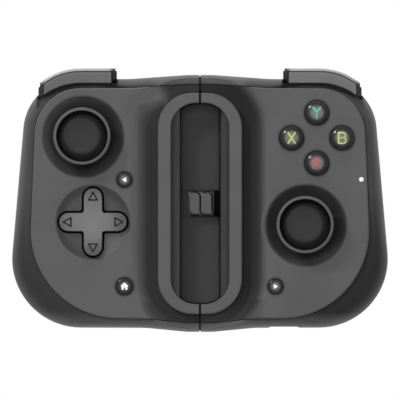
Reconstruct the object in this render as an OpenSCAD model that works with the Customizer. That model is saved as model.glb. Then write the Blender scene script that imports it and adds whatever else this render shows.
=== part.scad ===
// Telescoping phone gamepad, shown closed, lying on its back.
// X runs to the right, Y to the top edge, Z towards the player. Millimetres.

/* [Body] */
// reach of each half from the seam
half_w = 65.4; // [62:0.2:70]
// top edge of the body
top_y = 42.4; // [41:0.1:44]
// bottom edge of the body
low_y = -44.8; // [-47:0.1:-44]
// height of the front face above the rest face
body_t = 22; // [21:0.1:23]
// shell wall
wall = 1.8; // [1.4:0.1:2.2]
// floor of the rear shell
floor_t = 1.6; // [1.2:0.1:1.7]
// rim of the rear shell seen above and below the front plate
rim_w = 3.3; // [2.6:0.1:3.8]
// open line between the two halves
seam_gap = 0.5; // [0.2:0.05:0.6]

/* [Phone slot] */
// width of the slot between its two inner walls
slot_w = 20.3; // [19:0.1:22]
// upper end of the slot
slot_top = 33.9; // [32:0.1:35]
// lower end of the slot
slot_low = -36.4; // [-38:0.1:-35]
// corner radius of the slot
slot_r = 8.8; // [7:0.1:9.5]
// width of the slot rim along the sides
rim_side = 4.65; // [4:0.05:5.2]
// width of the slot rim at the ends
rim_end = 3.5; // [3:0.05:3.9]
// depth of the valley around the slot rim
valley_d = 4; // [3:0.1:4.4]
// level floor of the valley, measured out from the rim
valley_flat = 3.2; // [2:0.1:4]
// width of the slope from the valley floor up to the plate
valley_rise = 6; // [4:0.1:7]

/* [Bridge] */
// strap width
strap_w = 30; // [26:0.5:32]
// strap thickness
strap_t = 2; // [1.6:0.1:2.1]
// space kept between the end of a strap and the outer end of its half
strap_clear = 10.4; // [10:0.1:14]
// length of the centre sleeve
sleeve_l = 68; // [64:0.5:70]
// sliding clearance of the straps
run = 0.2; // [0.15:0.05:0.3]
// width of the centre pad on the bridge
pad_w = 13.6; // [12:0.1:14]

/* [Sticks] */
// left stick centre, in from the outer end and up from the origin
left_stick_in = [24.2, 22.3];
// right stick centre, in from the outer end and up from the origin
right_stick_in = [28.7, -8.6];
// diameter of the thumb cap
cap_d = 20; // [18:0.2:21]
// diameter of the stick well
well_d = 29.2; // [27:0.2:30]
// radius of the dome under the cap
dome_r = 9.5; // [9:0.1:9.8]
// height of the stick pivot
pivot_z = 13.4; // [13.2:0.1:13.6]

/* [Direction pad] */
// centre of the pad, in from the outer end and up from the origin
dpad_in = [28, -7.7];
// span across two opposite arms
dpad_span = 23.6; // [22:0.1:25]
// width of an arm
arm_w = 6.4; // [6:0.1:7.5]
// diameter of the dished well
dish_d = 26.1; // [26:0.1:27]

/* [Buttons] */
// centre of the four face buttons, in from the outer end and up from the origin
face_in = [24.6, 21.7];
// distance of each face button from their centre
face_pitch = 8.8; // [8.2:0.1:9.4]
// bore of a face button hole
face_d = 8.75; // [8:0.05:9]
// distance of the small buttons from the top of the valley slope
small_off = 2.4; // [2.2:0.1:3.4]
// height of the view button above the origin
view_y = 7.1; // [6:0.1:8]
// height of the home and menu buttons above the origin
home_y = -30.2; // [-31:0.1:-29]
// bore of the view and menu holes
small_d = 5.6; // [5:0.1:6]
// bore of the home hole
home_d = 6.3; // [5.6:0.1:6.6]
// play of a button in its hole, each side
play = 0.2; // [0.15:0.05:0.3]

/* [Shoulders] */
// width of the bumper band
bumper_w = 4.3; // [4:0.1:4.6]
// gap behind the bumper
bumper_gap = 1.6; // [1.5:0.1:1.9]
// radius of the bumper's outer edge
bumper_r = 21.4; // [20:0.1:22]
// width of a trigger's arm
trigger_w = 16.5; // [14:0.5:17]
// height by which a trigger stands out behind the bumper
trigger_out = 0.9; // [0.5:0.1:1]
// radius of the shoulder pins
pin_r = 1; // [0.8:0.05:1.1]

/* [Sockets] */
// status light centre, in from the outer end and up from the origin
light_in = [9, 7.2];
// status light diameter
light_d = 2; // [1.6:0.1:2.4]
// charge socket position along the bottom edge
port_x = 29.4; // [27:0.1:31]
// phone plug shell width
plug_w = 8.34;
// phone plug shell thickness
plug_t = 2.56;
// height of the phone plug centre line
plug_z = 13; // [12.8:0.1:13.4]

/* [Hidden] */
$fn = 48;

// overlap that keeps cutters clear of shared faces
eps = 0.4;
// height by which a soft edge runs out through the face it meets
over = 0.02;
// radial clearance of a running pin in its bore
pin_play = 0.05;
// height left under a seated piece
seat = 0.1;
// where every outline meets the seam
seam_x = -seam_gap / 2;
mid_y = (slot_top + slot_low) / 2;
// swell of the top and bottom edge at the seam
seam_rise = 1.4;
// how far the rest face draws in from the top and the bottom edge
rest_top = 7;
rest_low = 8;

// places of the controls
function on_left(p) = [p[0] - half_w, p[1]];
function on_right(p) = [half_w - p[0], p[1]];
ramp_end = slot_w / 2 + rim_side + valley_flat + valley_rise;
left_stick = on_left(left_stick_in);
right_stick = on_right(right_stick_in);
dpad_at = on_left(dpad_in);
face_at = on_right(face_in);
view_at = [-ramp_end - small_off, view_y];
home_at = [-ramp_end - small_off, home_y];
menu_at = [ramp_end + small_off, home_y];
light_at = on_right(light_in);
strap_in = 1;
strap_l = half_w - strap_clear - strap_in;

// levels, from the rest face up
sleeve_z = floor_t + 0.3;
sleeve_wall = 1.2;
strap_z = sleeve_z + sleeve_wall + run;
lid_z = strap_z + strap_t + run;
lid_top = lid_z + sleeve_wall;
pad_top = 9;
board_z = 8.6;
board_t = 1.2;
board_top = board_z + board_t;
waist_z = 12;
valley_z = body_t - valley_d;
plate_bottom = valley_z - 1.8;
plate_under = body_t - 2.2;
lip_z = body_t - 1.7;
line_gap = 0.15;

// plain colours
c_plate = [0.37, 0.37, 0.38];
c_shell = [0.25, 0.25, 0.26];
c_dark = [0.13, 0.13, 0.14];
c_mid = [0.3, 0.3, 0.31];
c_metal = [0.62, 0.62, 0.62];
c_board = [0.08, 0.24, 0.16];
c_white = [0.95, 0.95, 0.93];

// Outline tools

function flat(p) = [p[0], p[1]];
function unit(v) = v / norm(v);
function turn(a) = a > 180 ? a - 360 : (a < -180 ? a + 360 : a);
function ease(t) = (1 - cos(180 * t)) / 2;
// the same start, but it still climbs where it meets the face
function climb(t) = ease(0.86 * t) / ease(0.86);
function blend(p, q, t) = [for (i = [0 : len(p) - 1]) p[i] * (1 - t) + q[i] * t];

// one corner b between a and c, rounded to radius r in n steps
function corner(a, b, c, r, n) =
  let (u = unit(a - b), v = unit(c - b), half = acos(u * v) / 2)
  let (m = b + unit(u + v) * r / sin(half))
  let (s = b + u * r / tan(half) - m, e = b + v * r / tan(half) - m)
  let (a0 = atan2(s[1], s[0]), sweep = turn(atan2(e[1], e[0]) - a0))
  [for (i = [0 : n]) m + r * [cos(a0 + sweep * i / n), sin(a0 + sweep * i / n)]];

// open path of corners [x, y, radius, steps]; both ends stay sharp
function path(c) = concat([flat(c[0])],
  [for (k = [1 : len(c) - 2])
    each corner(flat(c[k - 1]), flat(c[k]), flat(c[k + 1]), c[k][2], c[k][3])],
  [flat(c[len(c) - 1])]);

// the swell keeps level up to this distance from the seam, then runs out along the edge
swell_flat = 4.5;
top_run = 24;
low_run = 19;

// edge of a left half outline from the seam out, and back to the seam
function top_edge(x0, y, drop) = [[x0, y], [-swell_flat, y, 20, 4], [-top_run, y - drop, 40, 3]];
function low_edge(x0, y, rise) = [[-low_run, y + rise, 40, 3], [-swell_flat, y, 20, 4], [x0, y]];

// left half outlines, moved in by d: the body, its rest face and the front plate
function body_path(d, x0) = path(concat(
  top_edge(x0, top_y + seam_rise - d, seam_rise),
  [[d - half_w + 5, top_y - 0.4 - d, 18.2 - d, 16],
   [d - half_w - 2.6, low_y + 0.2 + d, 24.1 - d, 20]],
  low_edge(x0, low_y - seam_rise + d, seam_rise)));
function rest_path(d, x0) = path(concat(
  top_edge(x0, top_y - rest_top - d, 0.8),
  [[d - half_w + 14, top_y - rest_top - 2 - d, 13 - d, 16],
   [d - half_w + 9.5, low_y + rest_low + 1.5 + d, 18 - d, 20]],
  low_edge(x0, low_y + rest_low - seam_rise + d, 0.9)));
function plate_path(d, x0) = path(concat(
  top_edge(x0, top_y + seam_rise - rim_w - d, seam_rise),
  [[d - half_w + 8.2, top_y - rim_w - 0.1 - d, 16.2 - d, 16],
   [d - half_w + 4.9, low_y + rim_w + 0.3 + d, 30.5 - d, 20]],
  low_edge(x0, low_y - seam_rise + rim_w + d, seam_rise)));

// left half of the slot, grown out by d at the sides and e at the ends
function slot_path(d, e, r, x0) = path([
  [x0, slot_top + e],
  [-slot_w / 2 - d, slot_top + e, r, 16],
  [-slot_w / 2 - d, slot_low - e, r, 16],
  [x0, slot_low - e]]);
rim_r = slot_r + rim_end;

// solid through a stack of rings that share one even point count
module loft(rings, zs) {
  n = len(rings[0]);
  last = len(rings) - 1;
  points = [for (k = [0 : last]) for (p = rings[k]) [p[0], p[1], zs[k]]];
  sides = [for (k = [0 : last - 1]) for (i = [0 : n - 1])
    let (a = k * n + i, b = k * n + (i + 1) % n)
    each [[a, a + n, b + n], [a, b + n, b]]];
  low = [for (i = [0 : n / 2 - 2]) [i, i + 1, n - 2 - i, n - 1 - i]];
  high = [for (q = low) [for (i = [3 : -1 : 0]) last * n + q[i]]];
  polyhedron(points = points, faces = concat(low, sides, high), convexity = 8);
}

module slab(outline, z0, z1) {
  translate([0, 0, z0]) linear_extrude(height = z1 - z0) polygon(outline);
}

module block(x0, x1, y0, y1, z0, z1) {
  translate([x0, y0, z0]) cube([x1 - x0, y1 - y0, z1 - z0]);
}

module rod(at, r, z0, z1) {
  translate([at[0], at[1], z0]) cylinder(h = z1 - z0, r = r);
}

// round bar along X, or along Y, centred on the origin of the caller
module bar_x(r, x0, x1) {
  translate([x0, 0, 0]) rotate([0, 90, 0]) cylinder(h = x1 - x0, r = r);
}
module bar_y(r, y0, y1) {
  translate([0, y1, 0]) rotate([90, 0, 0]) cylinder(h = y1 - y0, r = r);
}
module flip() { mirror([1, 0, 0]) children(); }

// Shoulder band: an arc at the outer end, straight towards the seam

bumper_at = [23.6 - half_w, top_y + 2.8 - bumper_r];
bumper_out = 8.8 - half_w;
bumper_end = 36.3 - half_w;
bumper_z = 12.5;
bumper_top = body_t - 2.4;
bumper_under = bumper_z - 0.3;
// lean of the two end faces of a bumper
end_lean = 1.7;
// room at each end of a bumper
end_play = 0.5;
shelf_t = 1.6;
hinge_at = [bumper_end - 4.1, bumper_at[1] + bumper_r - bumper_w / 2];
trigger_x = 23.15 - half_w;
trigger_pin = [top_y - 4.2, 7.9];
barrel_r = pin_r + 1.3;
bay_half = trigger_w / 2 + 0.4;
bay_back = trigger_pin[0] - barrel_r - 0.6;
bay_top = bumper_under - shelf_t;
// inner side, underside and top of a trigger's blade
blade_in = trigger_pin[0] + 2.4;
blade_low = trigger_pin[1] - 5.6;
blade_top = bay_top - 0.5;
// the outer tip of a blade, past the wall that carries the pin, reaches further in
tip_in = trigger_pin[0] + 0.4;
tip_end = trigger_x - bay_half - wall - 0.6;

// profile of radius and height carried along the band
module band(profile, sweep, length) {
  translate([bumper_at[0], bumper_at[1], 0]) {
    rotate([0, 0, 90]) rotate_extrude(angle = sweep) polygon(profile);
    rotate([90, 0, 90]) linear_extrude(height = length) polygon(profile);
  }
}

// room above the bumper's outer edge once that edge is moved down by drop
module over_arc(drop, grow, z0, z1) {
  difference() {
    block(bumper_out - grow, bumper_end + grow, bumper_at[1], top_y + 9, z0, z1);
    translate([0, -drop, 0]) {
      rod(bumper_at, bumper_r, z0 - 1, z1 + 1);
      block(bumper_at[0], bumper_end + grow + 1, bumper_at[1], bumper_at[1] + bumper_r, z0 - 1, z1 + 1);
    }
  }
}

// outline in Y and Z carried along X
module along_x(outline, x0, x1) {
  translate([x0, 0, 0]) rotate([90, 0, 90]) linear_extrude(height = x1 - x0) polygon(outline);
}

// Rear shells

screw_at = [[-22.5, 29.5], [-38, -33.5], [-20, -24.2]];
screw_r = 1;
boss_r = 2.7;
head_r = 2.1;
head_t = 1;
rail_in = strap_w / 2 + sleeve_wall + 2 * run + 0.7;
head_half = strap_w / 2 + 5;
rail_out = head_half + run;
rail_end = -strap_l - 1.6;

module shell_outer() {
  low = rest_path(0, seam_x);
  wide = body_path(0, seam_x);
  lip = plate_path(-line_gap, seam_x);
  turn_in = 75;
  rings = concat(
    [for (a = [0 : 15 : 90]) blend(low, wide, sin(a))],
    [for (a = [15 : 15 : turn_in]) blend(wide, lip, 1 - cos(a))]);
  zs = concat(
    [for (a = [0 : 15 : 90]) waist_z * (1 - cos(a))],
    [for (a = [15 : 15 : turn_in]) waist_z + (lip_z - waist_z) * sin(a) / sin(turn_in)]);
  loft(rings, zs);
}

module shell_cavity() {
  x0 = seam_x - wall;
  low = rest_path(wall, x0);
  wide = body_path(wall, x0);
  rings = concat([for (a = [0 : 30 : 90]) blend(low, wide, sin(a))], [plate_path(-line_gap, x0)]);
  zs = concat([for (a = [0 : 30 : 90]) floor_t + (waist_z - floor_t) * (1 - cos(a))],
    [plate_bottom]);
  loft(rings, zs);
}

// guides for the strap head, one each side of the sleeve
module rails() {
  for (s = [0, 1]) translate([0, mid_y, 0]) mirror([0, s, 0]) {
    block(rail_end, -wall, rail_in, rail_out + wall, floor_t - eps, strap_z - run);
    block(rail_end, -wall, rail_out, rail_out + wall, floor_t - eps, lid_top);
    block(rail_end, -wall, rail_in, rail_out + wall, lid_z, lid_top);
    block(-13.5, -wall, rail_out + wall - eps, rail_out + 3 * wall, floor_t - eps, cradle_z - seat);
  }
}

// walls around the shoulder parts
module shoulder_walls() {
  bay = [trigger_x - bay_half - wall, trigger_x + bay_half + wall];
  intersection() {
    shell_outer();
    union() {
      over_arc(bumper_w + bumper_gap + wall, end_play + wall, floor_t - eps, plate_bottom - 0.3);
      block(bay[0], bay[1], bay_back - wall, top_y, floor_t - eps, bay_top + wall);
    }
  }
  block(hinge_at[0] - 2.4, hinge_at[0] + 2.4, top_y - 6, hinge_at[1] + 1.6, bay_top - 1, bumper_under);
}

module shoulder_cuts() {
  swing = [[top_y + 9, -1], [blade_in - 2.2, -1], [blade_in - 2.2, blade_low + 1.6],
    [blade_in - 0.7, blade_low + 3.4], [blade_in - 0.7, bay_top], [top_y + 9, bay_top]];
  over_arc(bumper_w + bumper_gap, end_play, bumper_under, body_t + 1);
  over_arc(bumper_w + bumper_gap + 0.9, end_play, plate_bottom - 0.3, body_t + 1);
  block(trigger_x - bay_half, trigger_x + bay_half, bay_back, top_y + 6, -1, bay_top);
  along_x(swing, bumper_out - end_play, bumper_end + end_play);
  translate([0, tip_in - blade_in, 0]) along_x(swing, bumper_out - end_play, tip_end + end_play / 2);
  rod(hinge_at, pin_r + pin_play, bay_top - 1, bumper_z);
  translate([0, trigger_pin[0], trigger_pin[1]])
    bar_x(pin_r + pin_play, trigger_x - bay_half - wall + 0.5, trigger_x + bay_half + wall - 0.5);
}

module left_shell_body() {
  difference() {
    union() {
      difference() {
        shell_outer();
        shell_cavity();
      }
      rails();
      shoulder_walls();
      for (p = screw_at) rod(p, boss_r, floor_t - eps, board_z - seat);
    }
    slab(plate_path(-line_gap, 1), plate_bottom - 0.3, body_t + 1);
    slab(slot_path(rim_side + run, rim_end + run, rim_r + run, 1), cradle_z + cradle_t + 0.1,
      body_t + 1);
    block(-2 * wall, 1, mid_y - rail_in, mid_y + rail_in, sleeve_z - run, lid_top + run);
    block(-pad_w / 2 - run, 1, slot_low, slot_top, lid_top - run, pad_top);
    valley();
    shoulder_cuts();
    for (p = screw_at) {
      rod(p, screw_r + 0.25, -1, board_z);
      rod(p, head_r + 0.2, -1, head_t + 0.3);
    }
  }
}

// tongue of the left shell in the right one, so that no light shows through the seam
tongue_out = 1;
// its foot runs under the ends of the centre pad
tongue_in = 1.6;
tongue_step = lid_top - 2 * run;
function tongue_top(g) = concat(
  [for (a = [50 : 10 : 90])
    [top_y - rest_top + (rest_top + seam_rise) * sin(a) - wall / 4 + g / 2, waist_z * (1 - cos(a)) - g]],
  [[top_y + seam_rise - wall / 4 + g / 2, plate_bottom - 1.4 + g],
   [slot_top + rim_end + 1 - g, plate_bottom - 1.4 + g],
   [slot_top + rim_end + 1 - g, cradle_z + 0.6 + g],
   [slot_top - 0.1 - g, cradle_z + 0.6 + g],
   [slot_top - 0.1 - g, tongue_step + g],
   [slot_top - tongue_in - g, tongue_step + g],
   [slot_top - tongue_in - g, waist_z * (1 - cos(50)) - g]]);
function tongue_low(g) = concat(
  [for (a = [50 : 10 : 90])
    [low_y + rest_low - seam_rise - rest_low * sin(a) + wall / 4 - g / 2, waist_z * (1 - cos(a)) - g]],
  [[low_y - seam_rise + wall / 4 - g / 2, plate_bottom - 1.4 + g],
   [slot_low - rim_end - 1 + g, plate_bottom - 1.4 + g],
   [slot_low - rim_end - 1 + g, cradle_z + 0.6 + g],
   [slot_low + 0.1 + g, cradle_z + 0.6 + g],
   [slot_low + 0.1 + g, tongue_step + g],
   [slot_low + tongue_in + g, tongue_step + g],
   [slot_low + tongue_in + g, waist_z * (1 - cos(50)) - g]]);

module tongues(g, x0) {
  along_x(tongue_top(g), x0, tongue_out + g);
  along_x(tongue_low(g), x0, tongue_out + g);
}

module left_rear_shell() {
  color(c_shell) {
    left_shell_body();
    tongues(0, seam_x - wall / 2);
  }
}

port_z = board_top + 0.1 + 1.63;
port_half = 4.47;
port_half_t = 1.63;

// stadium prism along Y for the charge socket
module port_prism(grow, y0, y1) {
  translate([port_x, y1, port_z]) rotate([90, 0, 0]) linear_extrude(height = y1 - y0) {
    square([2 * (port_half - port_half_t), 2 * (port_half_t + grow)], center = true);
    for (s = [-1, 1]) translate([s * (port_half - port_half_t), 0]) circle(r = port_half_t + grow);
  }
}

module right_rear_shell() {
  recess_half = 5.7;
  recess_d = 0.45;
  slope = 1.1;
  recess = [[-recess_half - slope, -recess_d], [recess_half + slope, -recess_d],
    [recess_half - slope, recess_d], [slope - recess_half, recess_d]];
  color(c_shell) difference() {
    flip() left_shell_body();
    tongues(run, 0);
    port_prism(0.35, low_y - 3, low_y + 6);
    translate([port_x, low_y, 0]) slab(recess, port_z - 3.6, port_z + 5.2);
  }
}

// Front plates

edge_r = 0.9;
edge_turn = 60;

module plate_solid() {
  rings = concat([plate_path(0, seam_x)],
    [for (a = [0 : 20 : edge_turn]) plate_path(edge_r * (1 - cos(a)), seam_x)]);
  zs = concat([plate_bottom],
    [for (a = [0 : 20 : edge_turn]) body_t - edge_r * (sin(edge_turn) - sin(a))]);
  loft(rings, zs);
}

// everything above the valley round the slot rim
module valley() {
  steps = 8;
  reach = [for (i = [0 : steps]) valley_flat + valley_rise * i / steps];
  rings = concat(
    [for (g = reach) slot_path(rim_side + g, rim_end + g, rim_r + g, 1)],
    [slot_path(rim_side + reach[steps], rim_end + reach[steps], rim_r + reach[steps], 1)]);
  zs = concat([for (i = [0 : steps]) valley_z + (valley_d + over) * climb(i / steps)], [body_t + 1]);
  loft(rings, zs);
}

module slot_rim() {
  rings = concat([slot_path(rim_side, rim_end, rim_r, seam_x)],
    [for (a = [0 : 20 : edge_turn]) let (d = edge_r * (1 - cos(a)))
      slot_path(rim_side - d, rim_end - d, rim_r - d, seam_x)]);
  zs = concat([cradle_z + cradle_t + 0.2],
    [for (a = [0 : 20 : edge_turn]) body_t - edge_r * (sin(edge_turn) - sin(a))]);
  loft(rings, zs);
}

module slot_cut() {
  round_in = 0.6;
  rings = concat([slot_path(0, 0, slot_r, 1)],
    [for (a = [0 : 20 : edge_turn]) let (d = round_in * (1 - cos(a))) slot_path(d, d, slot_r + d, 1)],
    [slot_path(round_in, round_in, slot_r + round_in, 1)]);
  zs = concat([cradle_z],
    [for (a = [0 : 20 : edge_turn]) body_t + over - round_in * (sin(edge_turn) - sin(a))],
    [body_t + 1]);
  loft(rings, zs);
}

module plate_blank() {
  difference() {
    union() {
      difference() {
        plate_solid();
        valley();
        intersection() {
          slab(plate_path(wall, seam_x), plate_bottom - 1, plate_under);
          block(-half_w, -ramp_end - 1.4, low_y, top_y, 0, body_t);
        }
      }
      slot_rim();
      for (p = screw_at) rod(p, screw_r + 1.4, board_top + seat,
        p[0] < -ramp_end - 1.4 - boss_r ? plate_under + eps : plate_bottom + eps);
    }
    slot_cut();
    for (p = screw_at) rod(p, screw_r + pin_play, board_top - 1, plate_bottom - 1.4);
  }
}

well_floor = pivot_z + 5.5;

module stick_boss(at) {
  rod_h = plate_under + eps - (well_floor - 2.3);
  translate([at[0], at[1], well_floor - 2.3])
    cylinder(h = rod_h, r1 = dome_r + 1.3, r2 = well_d / 2 + 0.9);
}

// dished opening with a soft edge, from radius r0 on the floor to r1 at the face
module dish(at, r0, r1, z0) {
  steps = 8;
  slope = [for (i = [0 : steps])
    [r0 + (r1 - r0) * i / steps, z0 + (body_t + over - z0) * ease(i / steps)]];
  translate([at[0], at[1], 0]) rotate_extrude()
    polygon(concat([[0, z0]], slope, [[r1, body_t + 1], [0, body_t + 1]]));
}

module stick_hole(at) {
  dish(at, dome_r - 0.6, well_d / 2, well_floor);
  translate([at[0], at[1], pivot_z]) sphere(r = dome_r + 0.3, $fn = 96);
}

module button_hole(at, d) {
  rod(at, d / 2, plate_bottom - 2, body_t + 1);
  rod(at, d / 2 + 1.1, plate_bottom - 2, plate_under);
}

// cross with round arm ends and small fillets in the four inner corners
module cross(width, span) {
  fillet = 0.9;
  for (a = [0, 90]) rotate(a) {
    square([span - width, width], center = true);
    for (s = [-1, 1]) translate([s * (span - width) / 2, 0]) circle(d = width);
  }
  for (a = [0 : 90 : 270]) rotate(a) translate([width / 2, width / 2]) difference() {
    translate([-eps, -eps]) square(fillet + eps);
    translate([fillet, fillet]) circle(r = fillet);
  }
}

dpad_gap = 0.7;
dish_floor = body_t - 1.4;

module left_front_plate() {
  color(c_plate) difference() {
    union() {
      plate_blank();
      intersection() {
        slab(plate_path(edge_r, seam_x), 0, body_t);
        union() {
          stick_boss(left_stick);
          rod(dpad_at, dish_d / 2 + 0.8, plate_under - 1, plate_under + eps);
        }
      }
    }
    stick_hole(left_stick);
    dish(dpad_at, dish_d / 2 - 3.2, dish_d / 2, dish_floor);
    translate([dpad_at[0], dpad_at[1], plate_bottom]) linear_extrude(height = body_t)
      cross(arm_w + 2 * dpad_gap, dpad_span + 2 * dpad_gap);
    button_hole(view_at, small_d);
    button_hole(home_at, home_d);
  }
}

face_turn = [[1, 0], [0, 1], [-1, 0], [0, -1]];
function face_spot(i) = face_at + face_pitch * face_turn[i];
boot_half = plug_w / 2 + 0.35;
boot_half_t = 2.2;

module right_front_plate() {
  color(c_plate) difference() {
    union() {
      flip() plate_blank();
      intersection() {
        flip() slab(plate_path(edge_r, seam_x), 0, body_t);
        stick_boss(right_stick);
      }
    }
    stick_hole(right_stick);
    for (i = [0 : 3]) button_hole(face_spot(i), face_d);
    button_hole(menu_at, small_d);
    rod(light_at, light_d / 2 + pin_play, plate_bottom - 1, body_t + 1);
    translate([0, mid_y, plug_z]) block(slot_w / 2 - 1, slot_w / 2 + rim_side + 1,
      -boot_half - pin_play, boot_half + pin_play, -boot_half_t - pin_play, boot_half_t + pin_play);
  }
}

// Phone slot lining

cradle_z = lid_top + 0.5;
cradle_t = 1;
lining_top = body_t - 1.4;
lining_foot = -pad_w / 2 - 0.3;
// the lining stands upright past the plug's boot, then leans out
lining_step = plug_z + boot_half_t + 0.2;

module left_lining() {
  wedge = [[-slot_w, cradle_z], [lining_foot, cradle_z], [lining_foot, lining_step],
    [0.3 - slot_w / 2, lining_top], [-slot_w, lining_top]];
  intersection() {
    slab(slot_path(-seat, -seat, slot_r - seat, seam_x), cradle_z, body_t);
    translate([0, top_y, 0]) rotate([90, 0, 0])
      linear_extrude(height = top_y - low_y) polygon(wedge);
  }
  intersection() {
    slab(slot_path(rim_side - 0.6, rim_end - 0.6, rim_r - 0.6, seam_x), cradle_z,
      cradle_z + cradle_t);
    block(-slot_w, lining_foot, low_y, top_y, 0, body_t);
  }
}

module left_cradle_pad() {
  color(c_dark) left_lining();
}

module right_cradle_pad() {
  color(c_dark) difference() {
    flip() left_lining();
    translate([0, mid_y, plug_z]) block(0, slot_w, -boot_half - pin_play, boot_half + pin_play,
      -boot_half_t - pin_play, boot_half_t + pin_play);
  }
}

// Circuit boards and what stands on them

board_in = -17;
board_out = 9.4 - half_w;
board_hi = 32.4;
board_lo = -36;

module left_board_body() {
  difference() {
    slab(path([[board_in, board_hi], [board_out, board_hi, 8, 8], [board_out, board_lo, 14, 10],
      [board_in, board_lo]]), board_z, board_top);
    for (p = screw_at) rod(p, screw_r + 0.4, board_z - 1, board_top + 1);
  }
}

module left_board() {
  color(c_board) left_board_body();
}

module right_board() {
  color(c_board) union() {
    flip() left_board_body();
    block(port_x - 6.5, port_x + 6.5, low_y + wall + 1.4, board_lo + 1, board_z, board_top);
  }
}

// screw with a crossed drive slot
module screw_set() {
  for (p = screw_at) difference() {
    union() {
      rod(p, head_r, 0.2, head_t + 0.2);
      rod(p, screw_r, 0.2, plate_bottom - 2);
    }
    for (a = [0, 90]) translate([p[0], p[1], 0]) rotate(a)
      block(-1.3, 1.3, -0.3, 0.3, -1, 0.75);
  }
}

module left_screws() {
  color(c_metal) screw_set();
}

module right_screws() {
  color(c_metal) flip() screw_set();
}

switch_top = 13.5;

module tact_switch(at) {
  translate([at[0], at[1], 0]) block(-2.2, 2.2, -2.2, 2.2, board_top + seat, switch_top - 1.2);
  rod(at, 1.2, switch_top - 1.4, switch_top);
}

module left_switches() {
  color(c_metal) {
    tact_switch(view_at);
    tact_switch(home_at);
  }
}

module right_switches() {
  color(c_metal) tact_switch(menu_at);
}

module face_button_mat() {
  sheet_top = board_top + 0.9;
  dome_foot = 2.6;
  color(c_dark) {
    rod(face_at, face_pitch - 2, board_top + seat, sheet_top);
    for (i = [0 : 3]) {
      rod(face_spot(i), dome_foot + 0.2, board_top + seat, sheet_top);
      translate([face_spot(i)[0], face_spot(i)[1], sheet_top - eps])
        cylinder(h = switch_top - sheet_top + eps, r1 = dome_foot, r2 = 1.8);
    }
  }
}

module status_light() {
  color(c_white) rod(light_at, light_d / 2, plate_bottom + 0.2, body_t + 0.05);
}

module charge_port() {
  mouth = low_y + 0.7;
  back = mouth + 7.3;
  color(c_metal) {
    difference() {
      port_prism(0, mouth, back);
      port_prism(-0.3, mouth - 1, back - 0.6);
    }
    block(port_x - 3.35, port_x + 3.35, mouth + 0.9, back - 0.3, port_z - 0.35, port_z + 0.35);
  }
}

plug_tip = -4;
plug_root = 8;
boot_nose = 4.9;
boot_face = 5.5;

// rounded bar along X on the plug centre line
module plug_prism(width, thick, x0, x1) {
  translate([x0, mid_y, plug_z]) rotate([90, 0, 90]) linear_extrude(height = x1 - x0) {
    square([width - thick, thick], center = true);
    for (s = [-1, 1]) translate([s * (width - thick) / 2, 0]) circle(d = thick);
  }
}

module plug_boot() {
  wall_out = slot_w / 2 + rim_side + 0.2;
  color(c_dark) difference() {
    union() {
      plug_prism(2 * boot_half - 0.2, 2 * boot_half_t - 0.6, boot_nose, wall_out);
      plug_prism(2 * boot_half, 2 * boot_half_t, boot_face, wall_out + 0.5);
      plug_prism(2 * boot_half + 2.4, 2 * boot_half_t + 1.6, wall_out, wall_out + 1.4);
    }
    plug_prism(plug_w + 2 * pin_play, plug_t + 2 * pin_play, 0, plug_root + pin_play);
  }
}

// edge of a plate on the plug seen from the front, round at its top right and bottom left
function plate_edge(x, y) = path([[x - 3, y + plug_w / 2], [x, y + plug_w / 2, 1.6, 6],
  [x, y - plug_w / 2, 1.6, 6], [x + 3, y - plug_w / 2]]);

// shallow lines round two plates in the front face of the plug
module plug_lines(depth, line_w) {
  intersection() {
    difference() {
      plug_prism(plug_w + 2, plug_t + 2, plug_tip, plug_root);
      plug_prism(plug_w - 2 * depth, plug_t - 2 * depth, plug_tip - 1, plug_root + 1);
    }
    for (x = [plug_tip, 0, -plug_tip]) {
      here = plate_edge(x - line_w / 2, mid_y - line_w / 2);
      n = len(here) - 1;
      there = [for (i = [n : -1 : 0]) here[i] + [line_w, line_w]];
      slab(concat(here, there), plug_z, plug_z + plug_t);
    }
  }
}

module phone_plug() {
  skin = 0.35;
  color(c_metal) {
    difference() {
      plug_prism(plug_w, plug_t, plug_tip, plug_root);
      plug_prism(plug_w - 2 * skin, plug_t - 2 * skin, plug_tip - 1, plug_root - 2.5);
      plug_lines(0.18, 0.4);
    }
    translate([0, mid_y, plug_z]) block(plug_tip + 0.9, plug_root - 2, -3.3, 3.3, -0.35, 0.35);
  }
}

// Thumb sticks: base on the board, yoke tilting about X, rocker tilting about Y, cap pressing down

axle_r = 0.8;
ring_in = 4.5;
ring_out = 6.2;
ring_t = 1.8;
post_out = 7.9;
shaft_r = 1.6;
shaft_top = pivot_z + 11.6;
base_top = board_top + 0.9;
cap_z = 27.2;

module at_stick(at) {
  translate([at[0], at[1], pivot_z]) children();
}

module stick_base(at) {
  at_stick(at) difference() {
    union() {
      block(-post_out, post_out, -7, 7, board_top + seat - pivot_z, base_top - pivot_z);
      for (s = [0, 1]) mirror([s, 0, 0])
        block(ring_out + 0.5, post_out, -1.6, 1.6, board_top + seat - pivot_z, 1.5);
    }
    bar_x(axle_r + pin_play, -post_out - 1, post_out + 1);
  }
}

module stick_yoke(at) {
  at_stick(at) {
    difference() {
      translate([0, 0, -ring_t / 2]) difference() {
        cylinder(h = ring_t, r = ring_out);
        translate([0, 0, -1]) cylinder(h = ring_t + 2, r = ring_in);
      }
      bar_y(axle_r + pin_play, -ring_out - 1, ring_out + 1);
    }
    for (s = [0, 1]) mirror([s, 0, 0]) bar_x(axle_r, ring_out - 0.6, post_out - 0.2);
  }
}

module stick_rocker(at) {
  at_stick(at) {
    translate([0, 0, -1.5]) cylinder(h = 3.1, r = 3.2);
    bar_y(axle_r, -ring_out + 0.2, ring_out - 0.2);
    cylinder(h = shaft_top - pivot_z, r = shaft_r);
  }
}

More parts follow.
